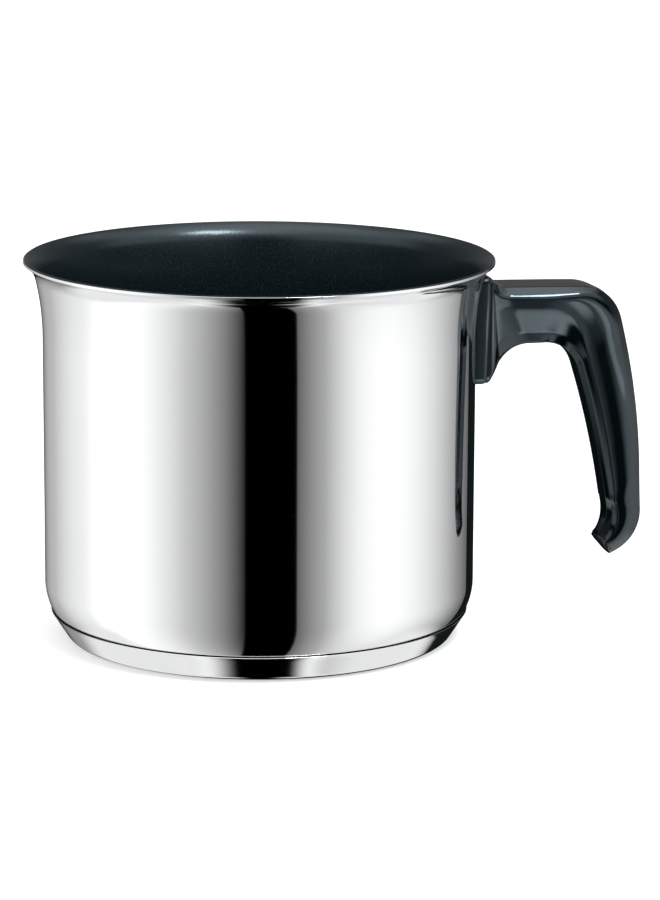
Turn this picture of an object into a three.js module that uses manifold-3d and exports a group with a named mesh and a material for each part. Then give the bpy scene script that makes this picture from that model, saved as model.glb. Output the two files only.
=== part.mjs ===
// Milk pan: a deep-drawn steel pot with a pouring rim, a non-stick lining, an encapsulated
// base and a one-piece phenolic handle. Millimetres, +Z up, handle along +X, origin at the
// centre of the foot on the table.

import * as THREE from 'three';
import { mergeVertices } from 'three/addons/utils/BufferGeometryUtils.js';
import Module from 'manifold-3d';

// Pot: outside sizes of the drawn sheet
const POT_HEIGHT = 123;
const WALL_RADIUS = 70;
const SHEET = 1;
const RIM_FLARE = 6;
const LIP_HEIGHT = 5;
const FLARE_HEIGHT = 24.5;
const FLARE_RADIUS = 85;
const HEEL_RADIUS = 20;
const HEEL_TURN_DEGREES = 29.6;
const FLOOR_CORNER_RADIUS = 4;

// Lining: the coat lies inside the sheet and stops at the rim edge
const COAT = 0.3;
const COAT_GAP = 0.1;

// Base: capsule cup and the heat-spreading disc inside it
const CORE_HEIGHT = 5.4;
const CAPSULE_SHEET = 0.6;
const CAPSULE_LIP_RISE = 2.15;
const CAPSULE_LIP_OVERHANG = 0.65;
const FOOT_INSET = 9.2;
const FOOT_FILLET = 3.1;
const SEAT_GAP = 0.3;

// Handle, side view. OUT is measured from the wall, DOWN from the rim. The upper line runs
// from the pot over the bar and down the spine to the heel of the grip.
const ARM_TOP_DOWN = 6;
const ARM_TOP_OUT = 4.2;
const ARM_EDGE_RADIUS = 1.2;
const BAR_TOP_DOWN = 9.9;
const BAR_TOP_OUT = 7;
const BAR_TOP_FILLET = 7;
const BAR_DROP = 0.7;
const CORNER_OUT = 48.1;
const CORNER_RADIUS = 15.7;
const SPINE_KNEE_OUT = 57.1;
const SPINE_KNEE_DOWN = 48.6;
const SPINE_KNEE_RADIUS = 230;
const HEEL_OUT = 59.2;
const HEEL_DOWN = 97;
const HEEL_BEND_RADIUS = 16.5;
const END_OUT = 48.6;
const END_DOWN = 101.9;

// The lower line runs from the pot under the bar and down the finger side to the beak.
const LEG_DOWN = 41.1;
const LEG_OUT = 3.9;
const LEG_TOP_OUT = 11.5;
const LEG_FILLET = 13;
const BAR_DEPTH = 19.3;
const ARMPIT_OUT = 32.8;
const ARMPIT_RADIUS = 11.7;
const FINGER_KNEE_OUT = 42.5;
const FINGER_KNEE_DOWN = 60.5;
const FINGER_KNEE_RADIUS = 300;
const HOOK_OUT = 47.5;
const HOOK_DOWN = 90.5;
const HOOK_RADIUS = 17;
const BEAK_OUT = 44.8;
const BEAK_DOWN = 96.6;

// Handle, across: half widths at the flange, along the bar and along the grip
const FLANGE_HALF = 13.2;
const ARM_ROOT_HALF = 12.3;
const BAR_HALF = 10.6;
const GRIP_HALF = 9;
const HEEL_HALF = 8.2;
const BAR_FLAT_HALF = 7.5;
const SPINE_FLAT_HALF = 3.6;
const BAR_BELLY_HALF = 10.4;
const RIDGE_HALF = 7.9;
const BAR_COVE_HALF = 8.9;
const COVE_HALF = 6.35;
const BAR_UNDER_HALF = 7.6;
const FINGER_HALF = 6;

// Handle, section: the shoulder lies under the spine by its drop. Ridge, cove and finger edge
// lie at shares of the shoulder's height, which are higher on the beak.
const BAR_CHAMFER_DROP = 2.4;
const SPINE_DROP = 6.8;
const HEEL_SPINE_DROP = 4;
const BAR_BELLY_SHARE = 0.76;
const RIDGE_SHARE = 0.25;
const BEAK_RIDGE_SHARE = 0.78;
const BAR_COVE_SHARE = 0.26;
const COVE_SHARE = 0.11;
const BEAK_COVE_SHARE = 0.6;
const BEAK_EDGE_SHARE = 0.42;
const BAR_EDGE_RADIUS = 1;
const SPINE_EDGE_RADIUS = 7;
const BAR_SHOULDER_RADIUS = 5;
const SHOULDER_RADIUS = 2;
const BAR_BELLY_RADIUS = 40;
const RIDGE_RADIUS = 0.4;
const BAR_COVE_RADIUS = 20;
const COVE_RADIUS = 1.5;
const BAR_UNDER_RADIUS = 3;
const FINGER_EDGE_RADIUS = 0.7;
const END_EDGE_RADIUS = 0.9;

// Handle flange: the saddle plate that lies on the wall
const FLANGE_TOP_DOWN = 5.6;
const FLANGE_TOP_OUT = 4;
const FLANGE_BOTTOM_OUT = 2.9;
const FLANGE_EDGE_RADIUS = 1.3;

// Bracket: bent strip with a foot on the wall and a tapped tongue in the bar
const BRACKET_SHEET = 1.6;
const BRACKET_WIDTH = 12;
const BRACKET_BEND_RADIUS = 2.4;
const BRACKET_FOOT = 19;
const TONGUE_BELOW_BAR_TOP = 8;
const TONGUE_PAST_SCREW = 5;
const BRACKET_ROOM = 0.4;

// Screw and spring washer, in a counterbore under the bar
const SCREW_OUT = 22;
const SCREW_RADIUS = 2;
const SCREW_PAST_TONGUE = 2;
const SCREW_HEAD_RADIUS = 3.7;
const SCREW_HEAD_HEIGHT = 2.4;
const SCREW_HEAD_ROUND = 0.8;
const CROSS_LENGTH = 4;
const CROSS_WIDTH = 0.9;
const CROSS_DEPTH = 1.3;
const SCREW_ROOM = 0.3;
const FACE_GAP = 0.05;
const COUNTERBORE_DEPTH = 3.9;
const WASHER_RADIUS = 3.6;
const WASHER_HEIGHT = 0.9;
const WASHER_SPLIT = 0.9;

// Facets: all that turns about the pot's axis has one count, so nested facets stay parallel
const TURNS = 68;
const FINE_TURNS = 24;
const BEND_STEPS = 4;
const EDGE_STEPS = 3;
const CUT_OVERRUN = 2;

const STEEL = { color: 0xc9ccce, roughness: 0.12, metalness: 1 };
const MATT_STEEL = { color: 0xb9bcbe, roughness: 0.35, metalness: 1 };
const ALUMINIUM = { color: 0xd0d2d4, roughness: 0.45, metalness: 1 };
const COATING = { color: 0x15191b, roughness: 0.42, metalness: 0 };
const PHENOLIC = { color: 0x0b0d10, roughness: 0.18, metalness: 0 };
const ZINC = { color: 0x9fa3a6, roughness: 0.4, metalness: 1 };

const wasm = await Module();
wasm.setup();

// Solids

// A geometry becomes a solid once its shared corners are merged.
function solidOf(geometry) {
  const bare = geometry.clone();
  bare.deleteAttribute('normal');
  bare.deleteAttribute('uv');
  const merged = mergeVertices(bare);
  return new wasm.Manifold(new wasm.Mesh({
    numProp: 3,
    vertProperties: new Float32Array(merged.attributes.position.array),
    triVerts: new Uint32Array(merged.index.array),
  }));
}

function geometryOf(solid) {
  const mesh = solid.getMesh();
  const geometry = new THREE.BufferGeometry();
  geometry.setAttribute('position', new THREE.BufferAttribute(mesh.vertProperties, 3));
  geometry.setIndex(new THREE.BufferAttribute(mesh.triVerts, 1));
  geometry.computeVertexNormals();
  return geometry;
}

// Turns a profile of [radius, height] pairs about +Z.
function turned(profile, count = TURNS) {
  const points = profile.map(([r, z]) => new THREE.Vector2(r, z));
  return new THREE.LatheGeometry(points, count).rotateX(Math.PI / 2);
}

// Pushes a shape drawn in X and Z through a width, centred on the XZ plane. A round softens
// the edges of both faces within that width.
function pushed(shape, width, round = 0) {
  const settings = {
    depth: width - 2 * round,
    bevelEnabled: round > 0,
    bevelThickness: round,
    bevelSize: round,
    bevelOffset: -round,
    bevelSegments: EDGE_STEPS,
    curveSegments: BEND_STEPS,
  };
  return new THREE.ExtrudeGeometry(shape, settings)
    .rotateX(Math.PI / 2)
    .translate(0, width / 2 - round, 0);
}

// An upright round pin or hole between two heights.
function upright(radius, bottom, top, x) {
  return new THREE.CylinderGeometry(radius, radius, top - bottom, FINE_TURNS)
    .rotateX(Math.PI / 2)
    .translate(x, 0, (bottom + top) / 2);
}

// Points on an arc about a centre, both ends included, angles in radians.
function arc([cx, cz], radius, from, to, steps) {
  return Array.from({ length: steps + 1 }, (_, i) => {
    const a = from + (to - from) * i / steps;
    return [cx + radius * Math.cos(a), cz + radius * Math.sin(a)];
  });
}

// Pot and lining

const floorHeight = CAPSULE_SHEET + CORE_HEIGHT + 2 * SEAT_GAP;
const heelTurn = THREE.MathUtils.degToRad(HEEL_TURN_DEGREES);
const heelCentre = [
  WALL_RADIUS - HEEL_RADIUS,
  floorHeight + FLOOR_CORNER_RADIUS + (HEEL_RADIUS - FLOOR_CORNER_RADIUS) * Math.sin(heelTurn),
];

// The sheet's outer line, moved outwards by an offset: floor, floor corner, heel, wall,
// flare and lip, as a run of tangent arcs. Every piece that meets the pot is cut from it.
function potLine(offset) {
  const cornerCentre = [
    heelCentre[0] + (HEEL_RADIUS - FLOOR_CORNER_RADIUS) * Math.cos(heelTurn),
    floorHeight + FLOOR_CORNER_RADIUS,
  ];
  const flareTurn = Math.asin((FLARE_HEIGHT - LIP_HEIGHT) / FLARE_RADIUS);
  const lipFlare = RIM_FLARE - FLARE_RADIUS * (1 - Math.cos(flareTurn));
  const lipTurn = 2 * Math.atan2(lipFlare, LIP_HEIGHT) - flareTurn;
  const lipRadius = LIP_HEIGHT / (Math.sin(lipTurn) - Math.sin(flareTurn));
  const flareCentre = [WALL_RADIUS + FLARE_RADIUS, POT_HEIGHT - FLARE_HEIGHT];
  const lipCentre = [
    WALL_RADIUS + RIM_FLARE + lipRadius * Math.cos(lipTurn),
    POT_HEIGHT - lipRadius * Math.sin(lipTurn),
  ];
  return [
    [0, floorHeight - offset],
    ...arc(cornerCentre, FLOOR_CORNER_RADIUS + offset, -Math.PI / 2, -heelTurn, 2),
    ...arc(heelCentre, HEEL_RADIUS + offset, -heelTurn, 0, 4).slice(1),
    ...arc(flareCentre, FLARE_RADIUS - offset, Math.PI, Math.PI - flareTurn, 3),
    ...arc(lipCentre, lipRadius - offset, Math.PI - flareTurn, Math.PI - lipTurn, 4).slice(1),
  ];
}

// A shell between two offsets of the pot's line.
function potShell(outer, inner) {
  return turned([...potLine(outer), ...potLine(inner).reverse()]);
}

// All the room that the pot takes, grown by a clearance and closed above the rim.
function potRoom(clearance) {
  const line = potLine(clearance);
  const [rimRadius] = line.at(-1);
  const top = POT_HEIGHT + SHEET + CUT_OVERRUN;
  return solidOf(turned([...line, [rimRadius, top], [0, top]]));
}

// Base

// The capsule's outer line, moved outwards by an offset: foot, rounded edge and slanted side
// up to a height. The side aims at the lip, which lies just outside the heel.
function capsuleLine(offset, height) {
  const lipHeight = floorHeight + CAPSULE_LIP_RISE;
  const belowCentre = heelCentre[1] - lipHeight;
  const heelAtLip = heelCentre[0] + Math.sqrt(HEEL_RADIUS ** 2 - belowCentre ** 2);
  const centre = [WALL_RADIUS - FOOT_INSET, FOOT_FILLET];
  const across = heelAtLip + CAPSULE_LIP_OVERHANG - centre[0];
  const up = lipHeight - centre[1];
  const side = Math.atan2(up, across) - Math.acos(FOOT_FILLET / Math.hypot(across, up));
  const edge = arc(centre, FOOT_FILLET + offset, -Math.PI / 2, side, 4);
  const [edgeX, edgeZ] = edge.at(-1);
  return [[0, -offset], ...edge, [edgeX - (height - edgeZ) * Math.tan(side), height]];
}

function baseCapsule() {
  const lip = floorHeight + CAPSULE_LIP_RISE;
  const cup = turned([...capsuleLine(0, lip), ...capsuleLine(-CAPSULE_SHEET, lip).reverse()]);
  return geometryOf(solidOf(cup).subtract(potRoom(SEAT_GAP)));
}

function baseCore() {
  const top = floorHeight - SEAT_GAP;
  return turned([...capsuleLine(-CAPSULE_SHEET - SEAT_GAP, top), [0, top]]);
}

// Handle

// A run of straight lines with rounded corners, as points that know their place along it:
// the corner's own number, give or take a quarter. Every corner has as many points, so two
// runs with as many corners pair off point by point.
function roundedRun(corners) {
  const vectors = corners.map(
    ({ out, down }) => new THREE.Vector2(WALL_RADIUS + out, POT_HEIGHT - down),
  );
  return corners.flatMap(({ radius }, i) => {
    const here = vectors[i];
    if (!radius) {
      return [{ at: i, point: here }];
    }
    const back = vectors[i - 1].clone().sub(here).normalize();
    const on = vectors[i + 1].clone().sub(here).normalize();
    const half = back.angleTo(on) / 2;
    const centre = back.clone().add(on).setLength(radius / Math.sin(half)).add(here);
    const start = back.clone().setLength(radius / Math.tan(half)).add(here).sub(centre);
    const end = on.clone().setLength(radius / Math.tan(half)).add(here).sub(centre);
    const turn = Math.atan2(start.cross(end), start.dot(end));
    return Array.from({ length: BEND_STEPS + 1 }, (_, k) => ({
      at: i + (k / BEND_STEPS - 1 / 2) / 2,
      point: start.clone().rotateAround(new THREE.Vector2(), turn * k / BEND_STEPS).add(centre),
    }));
  });
}

const upperRun = roundedRun([
  { out: -ARM_ROOT_HALF, down: ARM_TOP_DOWN },
  { out: ARM_TOP_OUT, down: ARM_TOP_DOWN, radius: ARM_EDGE_RADIUS },
  { out: BAR_TOP_OUT, down: BAR_TOP_DOWN, radius: BAR_TOP_FILLET },
  { out: CORNER_OUT, down: BAR_TOP_DOWN + BAR_DROP, radius: CORNER_RADIUS },
  { out: SPINE_KNEE_OUT, down: SPINE_KNEE_DOWN, radius: SPINE_KNEE_RADIUS },
  { out: HEEL_OUT, down: HEEL_DOWN, radius: HEEL_BEND_RADIUS },
  { out: END_OUT, down: END_DOWN },
]);

const lowerRun = roundedRun([
  { out: -ARM_ROOT_HALF, down: LEG_DOWN },
  { out: LEG_OUT, down: LEG_DOWN, radius: ARM_EDGE_RADIUS },
  { out: LEG_TOP_OUT, down: BAR_TOP_DOWN + BAR_DEPTH, radius: LEG_FILLET },
  { out: ARMPIT_OUT, down: BAR_TOP_DOWN + BAR_DEPTH, radius: ARMPIT_RADIUS },
  { out: FINGER_KNEE_OUT, down: FINGER_KNEE_DOWN, radius: FINGER_KNEE_RADIUS },
  { out: HOOK_OUT, down: HOOK_DOWN, radius: HOOK_RADIUS },
  { out: BEAK_OUT, down: BEAK_DOWN },
]);

// How the section changes along the handle: [place, value] pairs, eased from one to the next.
const SECTION_KEYS = {
  half: [
    [1.25, ARM_ROOT_HALF], [2.25, BAR_HALF], [2.5, BAR_HALF],
    [3.5, GRIP_HALF], [5, GRIP_HALF], [6, HEEL_HALF],
  ],
  flat: [
    [1.25, ARM_ROOT_HALF - FLANGE_EDGE_RADIUS], [2, BAR_FLAT_HALF],
    [2.75, BAR_FLAT_HALF], [3.25, SPINE_FLAT_HALF],
  ],
  drop: [
    [1.25, FLANGE_EDGE_RADIUS], [2, BAR_CHAMFER_DROP], [2.75, BAR_CHAMFER_DROP],
    [3.25, SPINE_DROP], [5, SPINE_DROP], [6, HEEL_SPINE_DROP],
  ],
  ridge: [[1.25, ARM_ROOT_HALF], [2.25, BAR_BELLY_HALF], [2.5, BAR_BELLY_HALF], [3.25, RIDGE_HALF]],
  cove: [[1.25, ARM_ROOT_HALF], [2.25, BAR_COVE_HALF], [2.5, BAR_COVE_HALF], [3.25, COVE_HALF]],
  under: [[1.25, ARM_ROOT_HALF], [2.25, BAR_UNDER_HALF], [2.5, BAR_UNDER_HALF], [3.25, FINGER_HALF]],
  ridgeShare: [[2.5, BAR_BELLY_SHARE], [3.25, RIDGE_SHARE], [5.25, RIDGE_SHARE], [6, BEAK_RIDGE_SHARE]],
  coveShare: [[2.5, BAR_COVE_SHARE], [3.25, COVE_SHARE], [5.25, COVE_SHARE], [6, BEAK_COVE_SHARE]],
  underShare: [[5.25, 0], [6, BEAK_EDGE_SHARE]],
  topEdge: [
    [2.75, BAR_EDGE_RADIUS], [3.25, SPINE_EDGE_RADIUS], [5, SPINE_EDGE_RADIUS], [6, SHOULDER_RADIUS],
  ],
  shoulderEdge: [[2.5, BAR_SHOULDER_RADIUS], [3.25, SHOULDER_RADIUS]],
  ridgeEdge: [[2.5, BAR_BELLY_RADIUS], [3.25, RIDGE_RADIUS]],
  coveEdge: [[2.5, BAR_COVE_RADIUS], [3.25, COVE_RADIUS]],
  underEdge: [[2.5, BAR_UNDER_RADIUS], [3.25, FINGER_EDGE_RADIUS]],
};

function eased(keys, at) {
  const next = keys.findIndex(([place]) => place > at);
  if (next <= 0) {
    return keys.at(next)[1];
  }
  const [from, low] = keys[next - 1];
  const [to, high] = keys[next];
  return low + (high - low) * THREE.MathUtils.smoothstep(at, from, to);
}

// One half of a section as [across, up] points: spine, shoulder, ridge, cove, finger edge.
function halfSection(size, depth) {
  const shoulder = depth - size.drop;
  const corners = [
    [0, depth, 0],
    [size.flat, depth, size.topEdge],
    [size.half, shoulder, size.shoulderEdge],
    [size.ridge, shoulder * size.ridgeShare, size.ridgeEdge],
    [size.cove, shoulder * size.coveShare, size.coveEdge],
    [size.under, shoulder * size.underShare, size.underEdge],
    [0, 0, 0],
  ].map(([x, y, radius]) => ({ corner: new THREE.Vector2(x, y), radius }));
  return corners.flatMap(({ corner, radius }, i) => {
    if (!radius) {
      return [corner];
    }
    const back = corners[i - 1].corner.clone().sub(corner);
    const on = corners[i + 1].corner.clone().sub(corner);
    const half = back.angleTo(on) / 2;
    const room = Math.min(back.length(), on.length()) / 2;
    const leg = Math.min(radius / Math.tan(half), room);
    const bend = new THREE.QuadraticBezierCurve(
      corner.clone().add(back.setLength(leg)),
      corner,
      corner.clone().add(on.setLength(leg)),
    );
    return bend.getPoints(EDGE_STEPS);
  });
}

// A ring of points in the plane through the paired points of both runs. An inset draws it in.
function ring(upper, lower, inset = 0, forward = 0) {
  const size = Object.fromEntries(
    Object.entries(SECTION_KEYS).map(([name, keys]) => [name, eased(keys, upper.at)]),
  );
  const axis = upper.point.clone().sub(lower.point);
  const depth = axis.length() - 2 * inset;
  axis.normalize();
  const start = lower.point.clone().addScaledVector(axis, inset);
  start.add(new THREE.Vector2(-axis.y, axis.x).multiplyScalar(-forward));
  ['half', 'flat', 'ridge', 'cove', 'under'].forEach((name) => {
    size[name] -= inset;
  });
  const half = halfSection(size, depth);
  const whole = [...half, ...half.slice(1, -1).reverse().map((p) => new THREE.Vector2(-p.x, p.y))];
  return whole.map((p) => new THREE.Vector3(start.x + axis.x * p.y, p.x, start.y + axis.y * p.y));
}

// Skins a run of rings and closes both ends.
function loft(rings) {
  const count = rings[0].length;
  const positions = rings.flat().flatMap((p) => [p.x, p.y, p.z]);
  const index = [];
  for (let r = 0; r + 1 < rings.length; r += 1) {
    for (let k = 0; k < count; k += 1) {
      const a = r * count + k;
      const b = r * count + (k + 1) % count;
      index.push(a, a + count, b, b, a + count, b + count);
    }
  }
  const last = (rings.length - 1) * count;
  for (let k = 1; k <= count / 2; k += 1) {
    const mirror = (count - k) % count;
    const mirrorBefore = (mirror + 1) % count;
    if (mirrorBefore !== k - 1) {
      index.push(k - 1, k, mirrorBefore, last + k - 1, last + mirrorBefore, last + k);
    }
    if (mirror !== k) {
      index.push(k, mirror, mirrorBefore, last + k, last + mirrorBefore, last + mirror);
    }
  }
  const geometry = new THREE.BufferGeometry();
  geometry.setAttribute('position', new THREE.Float32BufferAttribute(positions, 3));
  geometry.setIndex(index);
  return geometry;
}

// The arm from inside the pot's wall to the end face, whose edge is rounded by drawing the
// last ring in as it moves on.
function handleArm() {
  const rings = upperRun.map((upper, i) => ring(upper, lowerRun[i]));
  const end = [upperRun.at(-1), lowerRun.at(-1)];
  for (let k = 1; k <= EDGE_STEPS; k += 1) {
    const turn = Math.PI / 2 * k / EDGE_STEPS;
    const inset = END_EDGE_RADIUS * (1 - Math.cos(turn));
    rings.push(ring(...end, inset, END_EDGE_RADIUS * Math.sin(turn)));
  }
  return solidOf(loft(rings));
}

// The saddle plate on the wall, drawn from the side.
function handleFlange() {
  const top = POT_HEIGHT - FLANGE_TOP_DOWN;
  const bottom = POT_HEIGHT - LEG_DOWN;
  const inside = WALL_RADIUS - FLANGE_HALF;
  const side = new THREE.Shape([
    new THREE.Vector2(inside, bottom),
    new THREE.Vector2(WALL_RADIUS + FLANGE_BOTTOM_OUT, bottom),
    new THREE.Vector2(WALL_RADIUS + FLANGE_TOP_OUT, top),
    new THREE.Vector2(inside, top),
  ]);
  return solidOf(pushed(side, 2 * FLANGE_HALF, FLANGE_EDGE_RADIUS));
}

// Bracket, screw and washer

const tongueTop = POT_HEIGHT - BAR_TOP_DOWN - TONGUE_BELOW_BAR_TOP;
const screwX = WALL_RADIUS + SCREW_OUT;
const barBottom = POT_HEIGHT - BAR_TOP_DOWN - BAR_DEPTH;
const headSeat = barBottom + COUNTERBORE_DEPTH - WASHER_HEIGHT - 2 * FACE_GAP;

// The bracket's side view, grown by some room: foot up the wall, bend, tongue outwards.
function bracketSide(room) {
  const back = WALL_RADIUS - BRACKET_WIDTH / 2;
  const front = WALL_RADIUS + SEAT_GAP + BRACKET_SHEET + room;
  const end = screwX + TONGUE_PAST_SCREW + room;
  const under = tongueTop - BRACKET_SHEET - room;
  const bend = BRACKET_BEND_RADIUS - room;
  const side = new THREE.Shape();
  side.moveTo(back, tongueTop - BRACKET_FOOT - room);
  side.lineTo(front, tongueTop - BRACKET_FOOT - room);
  side.absarc(front + bend, under - bend, bend, Math.PI, Math.PI / 2, true);
  side.lineTo(end, under);
  side.lineTo(end, tongueTop + room);
  side.lineTo(back, tongueTop + room);
  return side;
}

function bracket() {
  const strip = solidOf(pushed(bracketSide(0), BRACKET_WIDTH));
  const under = tongueTop - BRACKET_SHEET;
  const tapped = upright(
    SCREW_RADIUS + SCREW_ROOM, under - CUT_OVERRUN, tongueTop + CUT_OVERRUN, screwX,
  );
  return geometryOf(strip.subtract(potRoom(SEAT_GAP)).subtract(solidOf(tapped)));
}

// Everything that the handle leaves free for its fastening.
function fasteningRoom() {
  const screwTop = tongueTop + SCREW_PAST_TONGUE + SCREW_ROOM;
  const pocket = solidOf(pushed(bracketSide(BRACKET_ROOM), BRACKET_WIDTH + 2 * BRACKET_ROOM));
  const hole = solidOf(upright(SCREW_RADIUS + SCREW_ROOM, barBottom, screwTop, screwX));
  const headRoom = SCREW_HEAD_RADIUS + SCREW_ROOM;
  const counterbore = solidOf(
    upright(headRoom, barBottom - CUT_OVERRUN, barBottom + COUNTERBORE_DEPTH, screwX),
  );
  return pocket.add(hole).add(counterbore);
}

function handle() {
  const whole = handleArm().add(handleFlange());
  return geometryOf(whole.subtract(potRoom(SEAT_GAP)).subtract(fasteningRoom()));
}

function screw() {
  const top = tongueTop + SCREW_PAST_TONGUE;
  const bottom = headSeat - SCREW_HEAD_HEIGHT;
  const round = arc(
    [SCREW_HEAD_RADIUS - SCREW_HEAD_ROUND, bottom + SCREW_HEAD_ROUND],
    SCREW_HEAD_ROUND, -Math.PI / 2, 0, EDGE_STEPS,
  );
  const profile = [
    [0, bottom],
    ...round,
    [SCREW_HEAD_RADIUS, headSeat],
    [SCREW_RADIUS, headSeat],
    [SCREW_RADIUS, top],
    [0, top],
  ];
  const body = solidOf(turned(profile, FINE_TURNS).translate(screwX, 0, 0));
  const arm = [CROSS_LENGTH, CROSS_WIDTH, 2 * CROSS_DEPTH];
  const across = new THREE.BoxGeometry(...arm).translate(screwX, 0, bottom);
  const along = new THREE.BoxGeometry(...arm).rotateZ(Math.PI / 2).translate(screwX, 0, bottom);
  return geometryOf(body.subtract(solidOf(across)).subtract(solidOf(along)));
}

// A split ring between the screw's head and the counterbore's shoulder.
function washer() {
  const bore = SCREW_RADIUS + SCREW_ROOM;
  const gap = Math.asin(WASHER_SPLIT / 2 / bore);
  const outline = new THREE.Shape();
  outline.absarc(0, 0, WASHER_RADIUS, gap, 2 * Math.PI - gap, false);
  outline.absarc(0, 0, bore, 2 * Math.PI - gap, gap, true);
  const settings = { depth: WASHER_HEIGHT, bevelEnabled: false, curveSegments: FINE_TURNS };
  return new THREE.ExtrudeGeometry(outline, settings).translate(screwX, 0, headSeat + FACE_GAP);
}

const pan = new THREE.Group();

function add(name, geometry, finish) {
  const mesh = new THREE.Mesh(geometry, new THREE.MeshStandardMaterial(finish));
  mesh.name = name;
  pan.add(mesh);
}

add('pan_body', potShell(0, -SHEET), STEEL);
add('nonstick_coating', potShell(-SHEET - COAT_GAP, -SHEET - COAT_GAP - COAT), COATING);
add('base_core', baseCore(), ALUMINIUM);
add('base_capsule', baseCapsule(), MATT_STEEL);
add('handle', handle(), PHENOLIC);
add('handle_bracket', bracket(), ZINC);
add('handle_screw', screw(), ZINC);
add('lock_washer', washer(), ZINC);

export default pan;
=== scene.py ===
"""Milk pan of mirror-polished steel: the dressed model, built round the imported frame.

Lengths in the sections are millimetres and each mesh is scaled to metres as it is made. The
depths in the materials, the floor, the lamp, the soft edges of the light and the camera are in
metres.
"""

import bpy
import numpy as np
from mathutils import Matrix


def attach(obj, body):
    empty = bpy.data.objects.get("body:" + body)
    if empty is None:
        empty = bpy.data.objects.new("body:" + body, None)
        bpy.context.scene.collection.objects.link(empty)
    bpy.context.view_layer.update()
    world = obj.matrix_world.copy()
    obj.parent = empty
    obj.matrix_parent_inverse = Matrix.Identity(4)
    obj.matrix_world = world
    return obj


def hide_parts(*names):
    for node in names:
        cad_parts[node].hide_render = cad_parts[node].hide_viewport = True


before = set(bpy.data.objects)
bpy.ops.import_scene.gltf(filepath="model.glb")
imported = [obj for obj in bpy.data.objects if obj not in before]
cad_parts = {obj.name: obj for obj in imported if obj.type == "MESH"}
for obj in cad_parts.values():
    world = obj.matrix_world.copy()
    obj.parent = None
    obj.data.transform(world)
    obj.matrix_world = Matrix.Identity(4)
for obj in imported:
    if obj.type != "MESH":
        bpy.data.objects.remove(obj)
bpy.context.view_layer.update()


# Pot. A deep-drawn cup of 1 mm stainless sheet with a heel at the floor and a rim rolled out
# for pouring. The outside is buffed to a mirror, which leaves hairlines round the pot.
POT_HEIGHT, WALL_RADIUS, SHEET = 123.0, 70.0, 1.0
RIM_FLARE, LIP_HEIGHT, FLARE_HEIGHT, FLARE_RADIUS = 6.0, 5.0, 24.5, 85.0
HEEL_RADIUS, HEEL_TURN, FLOOR_CORNER_RADIUS = 20.0, np.radians(29.6), 4.0
CAPSULE_SHEET, CORE_HEIGHT, SEAT_GAP = 0.6, 5.4, 0.3
TURNS, TRIM_EDGE, MILLIMETRE, CREASE = 256, 0.12, 0.001, 35
FLOOR_STEPS, CORNER_STEPS, HEEL_STEPS, WALL_STEPS, FLARE_STEPS, LIP_STEPS = 8, 14, 26, 30, 16, 18
FLOOR_HEIGHT = CAPSULE_SHEET + CORE_HEIGHT + 2 * SEAT_GAP
HEEL_CENTRE = np.array([
    WALL_RADIUS - HEEL_RADIUS,
    FLOOR_HEIGHT + FLOOR_CORNER_RADIUS + (HEEL_RADIUS - FLOOR_CORNER_RADIUS) * np.sin(HEEL_TURN),
])
CORNER_CENTRE = np.array([
    HEEL_CENTRE[0] + (HEEL_RADIUS - FLOOR_CORNER_RADIUS) * np.cos(HEEL_TURN),
    FLOOR_HEIGHT + FLOOR_CORNER_RADIUS,
])


def arc(centre, radius, start, end, steps):
    """Points of a circular arc: centre plus radius times (cosine, sine) of evenly spread angles."""
    angle = np.linspace(start, end, steps + 1)[:, None]
    return np.asarray(centre) + radius * np.hstack([np.cos(angle), np.sin(angle)])


def line(start, end, steps):
    """Points of a straight line between two points, without its ends."""
    share = np.linspace(0, 1, steps + 1)[1:-1, None]
    return np.asarray(start) * (1 - share) + np.asarray(end) * share


def pot_line(offset):
    """The sheet's outside as (radius, height), moved out by an offset: a run of tangent arcs
    for floor corner, heel, flare and lip, with a straight wall between heel and flare."""
    flare_turn = np.arcsin((FLARE_HEIGHT - LIP_HEIGHT) / FLARE_RADIUS)
    lip_flare = RIM_FLARE - FLARE_RADIUS * (1 - np.cos(flare_turn))
    lip_turn = 2 * np.arctan2(lip_flare, LIP_HEIGHT) - flare_turn
    lip_radius = LIP_HEIGHT / (np.sin(lip_turn) - np.sin(flare_turn))
    lip_centre = [WALL_RADIUS + RIM_FLARE + lip_radius * np.cos(lip_turn),
                  POT_HEIGHT - lip_radius * np.sin(lip_turn)]
    flare_centre = [WALL_RADIUS + FLARE_RADIUS, POT_HEIGHT - FLARE_HEIGHT]
    floor_corner = arc(CORNER_CENTRE, FLOOR_CORNER_RADIUS + offset, -np.pi / 2, -HEEL_TURN, CORNER_STEPS)
    heel = arc(HEEL_CENTRE, HEEL_RADIUS + offset, -HEEL_TURN, 0, HEEL_STEPS)
    flare = arc(flare_centre, FLARE_RADIUS - offset, np.pi, np.pi - flare_turn, FLARE_STEPS)
    lip = arc(lip_centre, lip_radius - offset, np.pi - flare_turn, np.pi - lip_turn, LIP_STEPS)
    axis = [0, FLOOR_HEIGHT - offset]
    return np.vstack([axis, line(axis, floor_corner[0], FLOOR_STEPS), floor_corner, heel[1:],
                      line(heel[-1], flare[0], WALL_STEPS), flare, lip[1:]])


def trimmed_end(outer, inner, radius, steps=6):
    """The rim edge after trimming: straight up from the end of the outer line, round a small
    quarter circle and level to the end of the inner line, which stands higher."""
    centre = [outer[-1, 0] - radius, inner[-1, 1] - radius]
    return arc(centre, radius, 0, np.pi / 2, steps)


def pot_shell(outer, inner, edge):
    """A closed profile between two offsets of the pot's line, its rim trimmed level."""
    out, back = pot_line(outer), pot_line(inner)
    return np.vstack([out, trimmed_end(out, back, edge), back[::-1]])


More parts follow.
